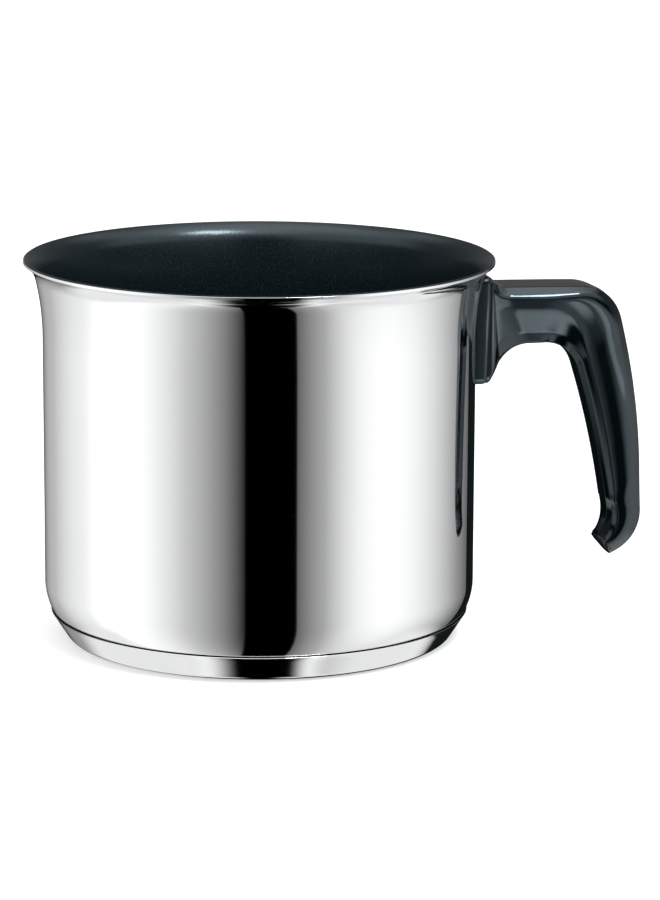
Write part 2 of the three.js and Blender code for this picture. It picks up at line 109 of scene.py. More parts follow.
def turned(profile, x=0.0, count=TURNS):
    """A profile of (radius, height) turned about an upright axis at x: (x + r cos a, r sin a, z)
    on a grid of angle by profile point. Its two ends lie on the axis and are single poles."""
    angle = np.arange(count)[:, None] * 2 * np.pi / count
    radius, height = profile[1:-1, 0], profile[1:-1, 1]
    rings = np.stack([x + np.cos(angle) * radius, np.sin(angle) * radius,
                      np.broadcast_to(height, (count, len(height)))], -1)
    points = np.vstack([rings.reshape(-1, 3), [x, 0, profile[0, 1]], [x, 0, profile[-1, 1]]])
    k = len(height)
    a = np.arange(count)[:, None] * k + np.arange(k - 1)
    b = (a + k) % (count * k)
    quads = np.stack([a, b, b + 1, a + 1], -1).reshape(-1, 4)
    first = np.arange(count) * k
    after = np.roll(first, -1)
    low = np.stack([np.full(count, count * k), after, first], -1)
    high = np.stack([np.full(count, count * k + 1), first + k - 1, after + k - 1], -1)
    return points, quads.tolist() + low.tolist() + high.tolist()


def creased(mesh, degrees):
    """Smooth shading, with a crease where faces meet at more than an angle."""
    mesh.shade_smooth()
    mesh.set_sharp_from_angle(angle=np.radians(degrees))


def piece(name, points, faces):
    """A smooth-shaded mesh object at the origin, from points in millimetres."""
    mesh = bpy.data.meshes.new(name)
    mesh.from_pydata((np.asarray(points) * MILLIMETRE).tolist(), [], faces)
    creased(mesh, CREASE)
    made = bpy.data.objects.new(name, mesh)
    bpy.context.scene.collection.objects.link(made)
    return made


def material(name, color, metallic, roughness, **sockets):
    """A Principled material with its plain values on the shader's own sockets. Returns the
    material, its node maker, its link maker and the shader."""
    made = bpy.data.materials.new(name)
    made.use_nodes = True
    tree = made.node_tree
    shader = tree.nodes["Principled BSDF"]
    values = {"Base Color": (*color, 1), "Metallic": metallic, "Roughness": roughness, **sockets}
    for socket, value in values.items():
        shader.inputs[socket].default_value = value
    return made, tree.nodes.new, tree.links.new, shader


def node_group(name, inputs, outputs):
    """An empty shader node group with named float inputs and outputs of a given kind."""
    group = bpy.data.node_groups.new(name, "ShaderNodeTree")
    for label, value in inputs.items():
        socket = group.interface.new_socket(label, in_out="INPUT", socket_type="NodeSocketFloat")
        socket.default_value = value
    for label, kind in outputs.items():
        group.interface.new_socket(label, in_out="OUTPUT", socket_type="NodeSocket" + kind)
    return group, group.nodes.new("NodeGroupInput"), group.nodes.new("NodeGroupOutput")


def fill(links, socket, value):
    """Puts a plain number into a socket, or links another node's output to it."""
    if isinstance(value, (int, float)):
        socket.default_value = value
    else:
        links(value, socket)


def maths(nodes, links, operation, *values):
    """One math node on numbers or sockets. Returns its value socket."""
    node = nodes("ShaderNodeMath")
    node.operation = operation
    for socket, value in zip(node.inputs, values):
        fill(links, socket, value)
    return node.outputs[0]


def noise(nodes, links, vector, scale, detail=2.0, stretch=None):
    """A noise texture on a vector, which may be stretched first. Returns its value socket."""
    if stretch is not None:
        mapping = nodes("ShaderNodeMapping")
        mapping.inputs["Scale"].default_value = stretch
        links(vector, mapping.inputs["Vector"])
        vector = mapping.outputs["Vector"]
    texture = nodes("ShaderNodeTexNoise")
    fill(links, texture.inputs["Scale"], scale)
    texture.inputs["Detail"].default_value = detail
    links(vector, texture.inputs["Vector"])
    return texture.outputs["Fac"]


def spread(nodes, links, value, low, high, start=0.0, end=1.0, curve="LINEAR"):
    """Maps a value between start and end to the range low to high, evenly or by smoothstep."""
    mapped = nodes("ShaderNodeMapRange")
    mapped.interpolation_type = curve
    for socket, given in zip(mapped.inputs[:5], (value, start, end, low, high)):
        fill(links, socket, given)
    return mapped.outputs["Result"]


def bumped(nodes, links, height, strength, distance):
    """The normal of a surface whose height follows a value. Returns its vector socket."""
    bump = nodes("ShaderNodeBump")
    bump.inputs["Strength"].default_value = strength
    fill(links, bump.inputs["Distance"], distance)
    links(height, bump.inputs["Height"])
    return bump.outputs[0]


def buffing_group():
    """Polish that a buffing wheel leaves: roughness wanders a little and fine lines run round
    the axis, as noise on (radius, height) only, so that each line is a circle."""
    group, given, out = node_group(
        "buffing", {"Roughness": 0.05, "Wander": 0.02, "Line": 0.02, "Depth": 0.00002},
        {"Roughness": "Float", "Normal": "Vector"})
    nodes, links = group.nodes.new, group.links.new
    place = nodes("ShaderNodeTexCoord").outputs["Object"]
    split = nodes("ShaderNodeSeparateXYZ")
    links(place, split.inputs[0])
    flat = nodes("ShaderNodeVectorMath")
    flat.operation = "MULTIPLY"
    flat.inputs[1].default_value = (1, 1, 0)
    links(place, flat.inputs[0])
    radius = nodes("ShaderNodeVectorMath")
    radius.operation = "LENGTH"
    links(flat.outputs[0], radius.inputs[0])
    rings = nodes("ShaderNodeCombineXYZ")
    links(radius.outputs["Value"], rings.inputs[0])
    links(split.outputs[2], rings.inputs[1])
    lines = noise(nodes, links, rings.outputs[0], scale=2600.0, detail=1.0)
    cloud = noise(nodes, links, place, scale=45.0, detail=3.0)
    base = maths(nodes, links, "MULTIPLY_ADD", cloud, given.outputs["Wander"], given.outputs["Roughness"])
    total = maths(nodes, links, "MULTIPLY_ADD", lines, given.outputs["Line"], base)
    links(total, out.inputs["Roughness"])
    normal = bumped(nodes, links, lines, strength=0.3, distance=given.outputs["Depth"])
    links(normal, out.inputs["Normal"])
    return group


buffing = buffing_group()


def steel(name, color, **values):
    """Metal whose roughness and normal come from the buffing group."""
    made, nodes, links, shader = material(name, color, metallic=1.0, roughness=0.08)
    group = nodes("ShaderNodeGroup")
    group.node_tree = buffing
    for label, value in values.items():
        group.inputs[label].default_value = value
    links(group.outputs["Roughness"], shader.inputs["Roughness"])
    links(group.outputs["Normal"], shader.inputs["Normal"])
    return made


mirror_steel = steel("mirror_steel", (0.80, 0.805, 0.81), Roughness=0.035, Wander=0.02, Line=0.012)

pot = piece("pot", *turned(pot_shell(0, -SHEET, TRIM_EDGE)))
pot.data.materials.append(mirror_steel)
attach(pot, "root")
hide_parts("pan_body")


# Lining. A sprayed and baked non-stick coat over the whole inside up to the rim edge, satin
# and nearly black, with the fine orange peel and dust-like grain that spraying leaves.
COAT, COAT_GAP = 0.3, 0.1


def peel_group():
    """A sprayed skin: rounded pits as smooth noise, with finer grain on top."""
    group, given, out = node_group(
        "peel", {"Pit Scale": 900.0, "Grain Scale": 3500.0, "Grain": 0.35, "Depth": 0.00004},
        {"Height": "Float", "Normal": "Vector"})
    nodes, links = group.nodes.new, group.links.new
    place = nodes("ShaderNodeTexCoord").outputs["Object"]
    pits = noise(nodes, links, place, given.outputs["Pit Scale"], detail=1.0)
    grain = noise(nodes, links, place, given.outputs["Grain Scale"], detail=2.0)
    height = maths(nodes, links, "MULTIPLY_ADD", grain, given.outputs["Grain"], pits)
    links(height, out.inputs["Height"])
    normal = bumped(nodes, links, height, strength=0.6, distance=given.outputs["Depth"])
    links(normal, out.inputs["Normal"])
    return group


peel = peel_group()


def two_tone(nodes, links, value, dark, light, start=0.0, end=1.0):
    """A colour that goes from dark to light as a value goes from start to end."""
    ramp = nodes("ShaderNodeValToRGB")
    for element, place, color in zip(ramp.color_ramp.elements, (start, end), (dark, light)):
        element.position, element.color = place, (*color, 1)
    links(value, ramp.inputs["Fac"])
    return ramp.outputs["Color"]


def coat_material():
    """Near-black satin coat: pits and grain bend the light, flecks lighten the colour a little.
    Its blue specular tint is painted light: a blue cast in every reflection.
    """
    # Painted light: the blue specular tint gives the coat's reflections a blue cast.
    made, nodes, links, shader = material(
        "nonstick_coat", (0.005, 0.009, 0.011), metallic=0.0, roughness=0.2, IOR=1.5,
        **{"Specular Tint": (0.75, 0.92, 1.0, 1)})
    skin = nodes("ShaderNodeGroup")
    skin.node_tree = peel
    links(skin.outputs["Normal"], shader.inputs["Normal"])
    links(spread(nodes, links, skin.outputs["Height"], low=0.15, high=0.26), shader.inputs["Roughness"])
    place = nodes("ShaderNodeTexCoord").outputs["Object"]
    fleck = noise(nodes, links, place, scale=2400.0, detail=0.0)
    dark, light = (0.0035, 0.0075, 0.009), (0.011, 0.018, 0.0205)
    links(two_tone(nodes, links, fleck, dark, light, start=0.5, end=0.82), shader.inputs["Base Color"])
    return made


coat_outside = -SHEET - COAT_GAP
lining = piece("lining", *turned(pot_shell(coat_outside, coat_outside - COAT, TRIM_EDGE / 2)))
lining.data.materials.append(coat_material())
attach(lining, "root")
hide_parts("nonstick_coating")


# Base. A steel capsule, pressed on under the pot, closes in an aluminium disc that spreads
# the heat. Its side is polished like the pot and its underside is faced on a lathe.
CAPSULE_LIP_RISE, CAPSULE_LIP_OVERHANG = 2.15, 0.65
FOOT_INSET, FOOT_FILLET = 9.2, 3.1
# Angles in radians where the bead over the lip starts and the seat under the heel ends.
BEAD_START, SEAT_END = 0.3, -1.25
# Faces this low that point down as steeply as this belong to the turned underside.
UNDERSIDE_BAND, UNDERSIDE_SLANT = 0.2, -0.99
FOOT_STEPS, FOOT_EDGE_STEPS, SIDE_STEPS, BEAD_STEPS, SEAT_STEPS = 24, 20, 8, 8, 8
CAPSULE_LIP = FLOOR_HEIGHT + CAPSULE_LIP_RISE


def capsule_line(offset, height):
    """The capsule's outside moved by an offset: flat foot, round foot edge and a slanted side
    that is tangent to that edge and aims at the lip just outside the heel."""
    at_lip = HEEL_CENTRE[0] + np.sqrt(HEEL_RADIUS ** 2 - (HEEL_CENTRE[1] - CAPSULE_LIP) ** 2)
    centre = np.array([WALL_RADIUS - FOOT_INSET, FOOT_FILLET])
    across, up = at_lip + CAPSULE_LIP_OVERHANG - centre[0], CAPSULE_LIP - centre[1]
    side = np.arctan2(up, across) - np.arccos(FOOT_FILLET / np.hypot(across, up))
    edge = arc(centre, FOOT_FILLET + offset, -np.pi / 2, side, FOOT_EDGE_STEPS)
    axis, end = [0, -offset], [edge[-1, 0] - (height - edge[-1, 1]) * np.tan(side), height]
    return np.vstack([axis, line(axis, edge[0], FOOT_STEPS), edge, line(edge[-1], end, SIDE_STEPS), [end]])


def capsule_profile():
    """Outer line up to the lip, a small bead over the lip, down the heel's outside and back
    along the inner line to the axis."""
    outer = capsule_line(0, CAPSULE_LIP)
    centre_down = HEEL_CENTRE[1] - CAPSULE_LIP
    seat = HEEL_CENTRE[0] + np.sqrt((HEEL_RADIUS + SEAT_GAP) ** 2 - centre_down ** 2)
    half = (outer[-1, 0] - seat) / 2
    bead = arc([seat + half, CAPSULE_LIP - half], half, BEAD_START, np.pi, BEAD_STEPS)
    outer[-1] = bead[0]
    corner = arc(CORNER_CENTRE, FLOOR_CORNER_RADIUS + SEAT_GAP, -HEEL_TURN, SEAT_END, SEAT_STEPS)
    inner = capsule_line(-CAPSULE_SHEET, FLOOR_HEIGHT - SEAT_GAP)
    return np.vstack([outer, bead[1:], corner, inner[::-1]])


capsule = piece("capsule", *turned(capsule_profile()))
capsule.data.materials.append(
    steel("capsule_steel", (0.78, 0.785, 0.79), Roughness=0.045, Wander=0.03, Line=0.02))
capsule.data.materials.append(
    steel("turned_steel", (0.66, 0.665, 0.67), Roughness=0.2, Wander=0.08, Line=0.14, Depth=0.0002))
faces = capsule.data.polygons
height = np.array([face.center.z for face in faces])
slant = np.array([face.normal.z for face in faces])
underside = (height < UNDERSIDE_BAND * MILLIMETRE) & (slant < UNDERSIDE_SLANT)
faces.foreach_set("material_index", underside.astype(np.int32))
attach(capsule, "root")
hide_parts("base_capsule")


def rolled_aluminium():
    """Dull rolled aluminium: roughness from noise drawn out along the rolling direction."""
    made, nodes, links, shader = material(
        "rolled_aluminium", (0.78, 0.79, 0.8), metallic=1.0, roughness=0.4)
    place = nodes("ShaderNodeTexCoord").outputs["Object"]
    grain = noise(nodes, links, place, scale=900.0, detail=3.0, stretch=(0.05, 1.0, 1.0))
    links(spread(nodes, links, grain, low=0.32, high=0.55), shader.inputs["Roughness"])
    return made


def finished(thing, made):
    """Gives a node of the frame, or a piece that was cut, one material in place of what it has."""
    thing.data.materials.clear()
    thing.data.materials.append(made)


finished(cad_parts["base_core"], rolled_aluminium())


# Handle. One glossy black phenolic moulding: a saddle plate on the wall, a short bar and a
# grip that hangs free, with a crowned spine and a groove, a ridge and a cove on each side.
ARM_TOP, BAR_TOP = (4.2, 6.0), (7.0, 9.9)
CORNER, SPINE_KNEE, HEEL, END = (48.1, 10.6), (57.1, 48.6), (59.13, 97.0), (48.6, 101.9)
LEG, LEG_TOP, ARMPIT = (3.9, 41.1), (11.5, 29.2), (32.8, 29.2)
FINGER_KNEE, HOOK, BEAK = (42.5, 60.5), (47.1, 89.5), (43.5, 95.1)
ROOT_BEND, BAR_TOP_BEND, CORNER_BEND, SPINE_BEND, HEEL_BEND = 1.2, 7.0, 15.7, 230.0, 15.0
LEG_TOP_BEND, ARMPIT_BEND, FINGER_BEND, HOOK_BEND = 13.0, 11.7, 300.0, 17.0
FLANGE_HALF, ARM_ROOT_HALF, BAR_HALF, GRIP_HALF, HEEL_HALF = 13.2, 12.3, 10.6, 9.0, 8.2
BAR_FLAT_HALF, SPINE_FLAT_HALF, CROWN = 7.5, 4.2, 0.35
BAR_BELLY_HALF, BAR_COVE_HALF, BAR_UNDER_HALF = 10.4, 8.9, 6.4
GROOVE_HALF, RIDGE_HALF, COVE_HALF, FINGER_HALF, BEAK_HALF = 8.36, 8.4, 6.9, 4.6, 3.4
BAR_CHAMFER_DROP, SPINE_DROP, HEEL_SPINE_DROP = 3.1, 5.5, 3.8
BELLY_SHARE, GROOVE_SHARE, RIDGE_SHARE, BEAK_RIDGE_SHARE = 0.76, 0.42, 0.25, 0.64
BAR_COVE_SHARE, COVE_SHARE, BEAK_COVE_SHARE, BEAK_EDGE_SHARE = 0.26, 0.11, 0.42, 0.15
FLANGE_TOP_DOWN, FLANGE_TOP_OUT, FLANGE_BOTTOM_OUT, FLANGE_EDGE = 5.6, 4.0, 2.9, 1.3
FLANGE_CORNER, FLANGE_STEPS, END_EDGE, END_STEPS = 2.2, 8, 0.5, 5
# Reach of the section's curves, in millimetres at the root, on the bar and on the grip.
SHOULDER_CURVE, GROOVE_CURVE, RIDGE_CURVE = (5.0, 5.0, 30.0), (40.0, 40.0, 30.0), (40.0, 40.0, 1.0)
COVE_CURVE, FINGER_CURVE = (20.0, 5.0, 4.0), (3.0, 2.0, 0.7)
BAR_CROWN_CURVE, SPINE_CROWN_CURVE = 1.0, 3.0
# A curve takes up at most this share of a side. By the crown it may take nearly the whole.
CURVE_LIMIT, CROWN_LIMIT = 0.5, 0.95
# Places along the arm where the section changes. A corner of the upper run has its number for
# its place, and its bend reaches a quarter to either side.
AT_ROOT, AT_BAR_TOP, AT_BAR, MID_BAR, BAR_END = 1.25, 2.0, 2.25, 2.5, 2.75
AT_GRIP, PAST_CORNER, TAPER_START, LOW_GRIP = 3.2, 3.25, 4.5, 4.6
AT_HEEL, AT_BEAK, TAPER_END, ARM_END = 5.0, 5.25, 5.3, 6.0


def rounded_run(corners, bend_steps=18, straight_steps=24):
    """Straight lines between corners given as ((out, down), radius), each corner replaced by its
    tangent arc. Returns the points and their place: the corner's number, a quarter either side."""
    at_corner = np.array([[WALL_RADIUS + out, POT_HEIGHT - down] for (out, down), _ in corners])
    runs, places = [], []
    for i, (_, radius) in enumerate(corners):
        here = at_corner[i]
        if radius:
            back, on = at_corner[i - 1] - here, at_corner[i + 1] - here
            back, on = back / np.linalg.norm(back), on / np.linalg.norm(on)
            half_angle = np.arccos(back @ on) / 2
            centre = here + (back + on) / np.linalg.norm(back + on) * radius / np.sin(half_angle)
            start = here + back * radius / np.tan(half_angle) - centre
            end = here + on * radius / np.tan(half_angle) - centre
            turn = np.arctan2(start[0] * end[1] - start[1] * end[0], start @ end)
            first = np.arctan2(start[1], start[0])
            points = arc(centre, radius, first, first + turn, bend_steps)
            place = i + np.linspace(-0.25, 0.25, bend_steps + 1)
        else:
            points, place = here[None], np.array([float(i)])
        if runs:
            runs.append(line(runs[-1][-1], points[0], straight_steps))
            places.append(np.linspace(places[-1][-1], place[0], straight_steps + 1)[1:-1])
        runs.append(points)
        places.append(place)
    return np.vstack(runs), np.concatenate(places)


def eased(keys, at):
    """Values at places along the handle: smoothstep, 3t^2 - 2t^3, between [place, value] keys."""
    place, value = np.array(keys, float).T
    at = np.clip(at, place[0], place[-1])
    i = np.clip(np.searchsorted(place, at, side="right") - 1, 0, len(place) - 2)
    t = (at - place[i]) / (place[i + 1] - place[i])
    return value[i] + (value[i + 1] - value[i]) * t * t * (3 - 2 * t)


def sections(at, depth, inset=0.0, edge_steps=7, flat_steps=4):
    """Closed sections as (across, up) on a grid of place by point. One half is a polygon of spine,
    shoulder, groove, ridge, cove and finger edge, each corner b a quadratic Bezier curve that is
    tangent to its sides, (1-t)^2 a + 2t(1-t) b + t^2 c. The other half is its mirror image."""
    def key(root, bar, grip, beak=None):
        beak = grip if beak is None else beak
        return eased([(AT_ROOT, root), (AT_BAR, bar), (MID_BAR, bar), (AT_GRIP, grip), (LOW_GRIP, grip),
                      (AT_BEAK, beak)], at)

    def share(bar, grip, beak):
        return shoulder * eased([(MID_BAR, bar), (AT_GRIP, grip), (LOW_GRIP, grip), (AT_BEAK, beak)], at)

    half = eased([(AT_ROOT, ARM_ROOT_HALF), (AT_BAR, BAR_HALF), (BAR_END, BAR_HALF),
                  (PAST_CORNER, GRIP_HALF)], at)
    taper = eased([(TAPER_START, 1.0), (TAPER_END, HEEL_HALF / GRIP_HALF)], at)
    flat = eased([(AT_ROOT, ARM_ROOT_HALF - FLANGE_EDGE), (AT_BAR_TOP, BAR_FLAT_HALF),
                  (BAR_END, BAR_FLAT_HALF), (PAST_CORNER, SPINE_FLAT_HALF)], at)
    drop = eased([(AT_ROOT, FLANGE_EDGE), (AT_BAR_TOP, BAR_CHAMFER_DROP), (BAR_END, BAR_CHAMFER_DROP),
                  (PAST_CORNER, SPINE_DROP), (AT_HEEL, SPINE_DROP), (ARM_END, HEEL_SPINE_DROP)], at)
    crown_curve = eased([(BAR_END, BAR_CROWN_CURVE), (PAST_CORNER, SPINE_CROWN_CURVE)], at)
    crown = key(0.0, 0.0, CROWN)
    groove = key(ARM_ROOT_HALF, (BAR_HALF + BAR_BELLY_HALF) / 2, GROOVE_HALF)
    ridge = key(ARM_ROOT_HALF, BAR_BELLY_HALF, RIDGE_HALF)
    cove = key(ARM_ROOT_HALF, BAR_COVE_HALF, COVE_HALF)
    finger = key(ARM_ROOT_HALF, BAR_UNDER_HALF, FINGER_HALF, BEAK_HALF)
    zero, shoulder = np.zeros_like(depth), depth - drop
    groove_up = share((1 + BELLY_SHARE) / 2, GROOVE_SHARE, (1 + BEAK_RIDGE_SHARE) / 2)
    ridge_up = share(BELLY_SHARE, RIDGE_SHARE, BEAK_RIDGE_SHARE)
    cove_up = share(BAR_COVE_SHARE, COVE_SHARE, BEAK_COVE_SHARE)
    finger_up = share(0.0, 0.0, BEAK_EDGE_SHARE)
    corners = [
        (zero, depth, zero),
        (flat - inset, depth - crown, crown_curve),
        (half - inset, shoulder, key(*SHOULDER_CURVE)),
        (groove - inset, groove_up, key(*GROOVE_CURVE)),
        (ridge - inset, ridge_up, key(*RIDGE_CURVE)),
        (cove - inset, cove_up, key(*COVE_CURVE)),
        (finger - inset, finger_up, key(*FINGER_CURVE)),
        (zero, zero, zero),
    ]
    points = [np.stack([across, up], -1) for across, up, _ in corners]
    t = np.linspace(0, 1, edge_steps + 1)[None, :, None]
    side = np.linspace(0, 1, flat_steps + 1)[1:-1]
    side = (0.5 - 0.5 * np.cos(np.pi * side))[None, :, None]
    made = [points[0][:, None]]
    for i in range(1, len(points)):
        if i == len(points) - 1:
            bend = points[i][:, None]
        else:
            back, on = points[i - 1] - points[i], points[i + 1] - points[i]
            long_back, long_on = np.linalg.norm(back, axis=1), np.linalg.norm(on, axis=1)
            half_angle = np.arccos(np.clip((back * on).sum(1) / long_back / long_on, -1, 1)) / 2
            reach = corners[i][2] / np.tan(half_angle)
            limit = CROWN_LIMIT if i == 1 else CURVE_LIMIT
            first = (points[i] + back * np.minimum(reach / long_back, limit)[:, None])[:, None]
            last = (points[i] + on * np.minimum(reach / long_on, CURVE_LIMIT)[:, None])[:, None]
            bend = (1 - t) ** 2 * first + 2 * t * (1 - t) * points[i][:, None] + t ** 2 * last
        before = made[-1][:, -1:]
        made += [before + (bend[:, :1] - before) * side, bend]
    half_ring = np.concatenate(made, 1)
    half_ring[..., 0] *= taper[:, None]
    return np.concatenate([half_ring, (half_ring * [-1, 1])[:, -2:0:-1]], 1)


def skinned(rings, flip=False):
    """A closed skin over a stack of rings: a quad between each two neighbour points of two
    neighbour rings, and one face on each end ring. Flip turns the faces round."""
    rows, count = rings.shape[:2]
    a = np.arange(rows - 1)[:, None] * count + np.arange(count)
    b = np.arange(rows - 1)[:, None] * count + (np.arange(count) + 1) % count
    quads = np.stack([a, b, b + count, a + count], -1).reshape(-1, 4)
    ends = [np.arange(count)[::-1], (rows - 1) * count + np.arange(count)]
    if flip:
        quads, ends = quads[:, [0, 3, 2, 1]], [end[::-1] for end in ends]
    return rings.reshape(-1, 3), quads.tolist() + [end.tolist() for end in ends]


def handle_arm():
    """Rings of the arm: each lies in the plane through a pair of points of the upper and the lower
    run, at lower point plus up times the unit vector between them, and across along Y. The last
    rings are drawn in by a quarter circle round the end face."""
    upper, at = rounded_run([
        ((-ARM_ROOT_HALF, ARM_TOP[1]), 0), (ARM_TOP, ROOT_BEND), (BAR_TOP, BAR_TOP_BEND),
        (CORNER, CORNER_BEND), (SPINE_KNEE, SPINE_BEND), (HEEL, HEEL_BEND), (END, 0)])
    lower, _ = rounded_run([
        ((-ARM_ROOT_HALF, LEG[1]), 0), (LEG, ROOT_BEND), (LEG_TOP, LEG_TOP_BEND),
        (ARMPIT, ARMPIT_BEND), (FINGER_KNEE, FINGER_BEND), (HOOK, HOOK_BEND), (BEAK, 0)])
    rings = []
    for angle in np.linspace(0, np.pi / 2, END_STEPS + 1):
        inset, forward = END_EDGE * (1 - np.cos(angle)), END_EDGE * np.sin(angle)
        rows = slice(-1, None) if rings else slice(None)
        axis = upper[rows] - lower[rows]
        depth = np.linalg.norm(axis, axis=1)
        axis = axis / depth[:, None]
        ahead = np.stack([axis[:, 1], -axis[:, 0]], -1)
        foot = lower[rows] + axis * inset + ahead * forward
        section = sections(at[rows], depth - 2 * inset, inset)
        flat = foot[:, None] + axis[:, None] * section[..., 1:]
        rings.append(np.stack([flat[..., 0], section[..., 0], flat[..., 1]], -1))
    return skinned(np.concatenate(rings), flip=True)


def rounded_rectangle(centre, radius, steps):
    """Outline of a rectangle: a quarter circle round each of the corner centres (+-x, +-y)."""
    quarter = arc([0, 0], 1, 0, np.pi / 2, steps)
    signs = np.array([[1, 1], [-1, 1], [-1, -1], [1, -1]])
    corners = [radius * (quarter if s.prod() > 0 else quarter[::-1]) + centre for s in signs]
    return np.vstack([corner * s for corner, s in zip(corners, signs)])


def handle_flange():
    """The saddle plate: a rectangle with round corners in Y and Z, whose front edge is rounded by
    drawing the outline in by a quarter circle as it comes forward to the slanted front plane."""
    top, bottom = POT_HEIGHT - FLANGE_TOP_DOWN, POT_HEIGHT - LEG[1]
    middle, half_high = (top + bottom) / 2, (top - bottom) / 2
    centre = np.array([FLANGE_HALF, half_high]) - FLANGE_CORNER
    rings = []
    for angle in np.linspace(0, np.pi / 2, FLANGE_STEPS):
        inset = FLANGE_EDGE * (1 - np.cos(angle))
        outline = rounded_rectangle(centre, FLANGE_CORNER - inset, FLANGE_STEPS)
        height_share = (outline[:, 1] + half_high) / 2 / half_high
        front = WALL_RADIUS + FLANGE_BOTTOM_OUT + (FLANGE_TOP_OUT - FLANGE_BOTTOM_OUT) * height_share
        out = front - FLANGE_EDGE * (1 - np.sin(angle))
        rings.append(np.stack([out, outline[:, 0], middle + outline[:, 1]], -1))
    back = rings[0].copy()
    back[:, 0] = WALL_RADIUS - ARM_ROOT_HALF
    return skinned(np.array([back, *rings]))


def combined(base, other, operation):
    """Adds or takes away another closed mesh object, which is then removed."""
    step = base.modifiers.new(operation.lower(), "BOOLEAN")
    step.operation, step.object, step.solver = operation, other, "EXACT"
    bpy.context.view_layer.update()
    result = bpy.data.meshes.new_from_object(base.evaluated_get(bpy.context.evaluated_depsgraph_get()))
    base.modifiers.remove(step)
    base.data = result
    bpy.data.objects.remove(other)


# The fastening's sizes are here because the handle is moulded round it.
SCREW_OUT, SCREW_RADIUS, SCREW_ROOM, SCREW_HEAD_RADIUS, COUNTERBORE_DEPTH = 22.0, 2.0, 0.3, 3.7, 3.9
BRACKET_SHEET, BRACKET_WIDTH, BRACKET_FOOT, BRACKET_ROOM = 1.6, 12.0, 19.0, 0.4
TONGUE_DEPTH, TONGUE_END, BRACKET_BEND, SCREW_PROUD = 8.0, 5.0, 2.0, 2.0
ROOM_OVERRUN, HOLE_OVERRUN, BORE_OVERRUN = 5.0, 1.0, 3.0
SCREW_TURNS, CUT_CREASE = 64, 32
TONGUE_TOP = POT_HEIGHT - BAR_TOP[1] - TONGUE_DEPTH
SCREW_X = WALL_RADIUS + SCREW_OUT
BAR_BOTTOM = POT_HEIGHT - LEG_TOP[1]


def pin(radius, bottom, top):
    """A round upright pin on the screw's axis, as a cutter."""
    return turned(np.array([[0, bottom], [radius, bottom], [radius, top], [0, top]]), SCREW_X, SCREW_TURNS)


def bracket_pocket():
    """The bracket's side view with its room, an L of foot and tongue, pushed across its width."""
    back, front = WALL_RADIUS - BRACKET_WIDTH / 2, WALL_RADIUS + SEAT_GAP + BRACKET_SHEET + BRACKET_ROOM
    end, under = SCREW_X + TONGUE_END + BRACKET_ROOM, TONGUE_TOP - BRACKET_SHEET - BRACKET_ROOM
    low, high = TONGUE_TOP - BRACKET_FOOT, TONGUE_TOP + BRACKET_ROOM
    side = np.array([[back, low], [front, low], [front, under - BRACKET_BEND],
                     [front + BRACKET_BEND, under], [end, under], [end, high], [back, high]])
    half = BRACKET_WIDTH / 2 + BRACKET_ROOM
    return skinned(np.array([np.insert(side, 1, across, 1) for across in (-half, half)]), flip=True)


def phenolic():
    """Glossy black thermoset: a faint long swell and the flash line of the mould on the middle
    plane bend the light, and the gloss wanders a little where hands rub it. Its blue specular
    tint is painted light: a blue cast in every reflection."""
    # Painted light: the blue specular tint gives the handle's reflections a blue cast.
    made, nodes, links, shader = material(
        "phenolic", (0.001, 0.0025, 0.003), metallic=0.0, roughness=0.12, IOR=1.6,
        **{"Specular Tint": (0.72, 0.9, 1.0, 1)})
    place = nodes("ShaderNodeTexCoord").outputs["Object"]
    swell = noise(nodes, links, place, scale=130.0, detail=1.0)
    split = nodes("ShaderNodeSeparateXYZ")
    links(place, split.inputs[0])
    side = maths(nodes, links, "ABSOLUTE", split.outputs[1])
    flash = spread(nodes, links, side, low=0.25, high=0.0, end=0.0002)
    height = maths(nodes, links, "ADD", swell, flash)
    links(bumped(nodes, links, height, strength=0.25, distance=0.0001), shader.inputs["Normal"])
    rub = noise(nodes, links, place, scale=60.0, detail=4.0)
    links(spread(nodes, links, rub, low=0.07, high=0.12, start=0.3, end=0.7), shader.inputs["Roughness"])
    return made


handle = piece("grip", *handle_arm())
combined(handle, piece("plate", *handle_flange()), "UNION")
pot_room = pot_line(SEAT_GAP)
over = POT_HEIGHT + ROOM_OVERRUN
pot_room = np.vstack([pot_room, [[pot_room[-1, 0], over], [0, over]]])
hole = pin(SCREW_RADIUS + SCREW_ROOM, BAR_BOTTOM - HOLE_OVERRUN, TONGUE_TOP + SCREW_PROUD + SCREW_ROOM)
bore = pin(SCREW_HEAD_RADIUS + SCREW_ROOM, BAR_BOTTOM - BORE_OVERRUN, BAR_BOTTOM + COUNTERBORE_DEPTH)
cuts = {"room": turned(pot_room), "pocket": bracket_pocket(), "hole": hole, "bore": bore}
for name, cut in cuts.items():
    combined(handle, piece(name, *cut), "DIFFERENCE")
creased(handle.data, CUT_CREASE)
finished(handle, phenolic())
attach(handle, "root")
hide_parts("handle")


# Fastening. A stamped bracket is spot welded to the wall inside the plate. A zinc-plated
# screw with a cross recess holds the bar to its tongue, over a split spring washer.
FACE_GAP, WASHER_HEIGHT, WASHER_RADIUS, WASHER_SPLIT = 0.05, 0.9, 3.6, 0.9
WASHER_EDGE, WASHER_EDGE_STEPS, WASHER_STEPS = 0.12, 3, 64
HEAD_HEIGHT, HEAD_ROUND, HEAD_STEPS, SCREW_POINT = 2.4, 0.8, 10, 0.4
CROSS_HALF_LENGTH, CROSS_HALF_WIDTH, CROSS_DEPTH, CROSS_OVERRUN = 2.0, 0.45, 1.3, 0.5
CROSS_MOUTH, CROSS_TIP, DARK_SHARE = 1.1, 0.7, 0.82
HEAD_SEAT = BAR_BOTTOM + COUNTERBORE_DEPTH - WASHER_HEIGHT - 2 * FACE_GAP
HEAD_BOTTOM = HEAD_SEAT - HEAD_HEIGHT


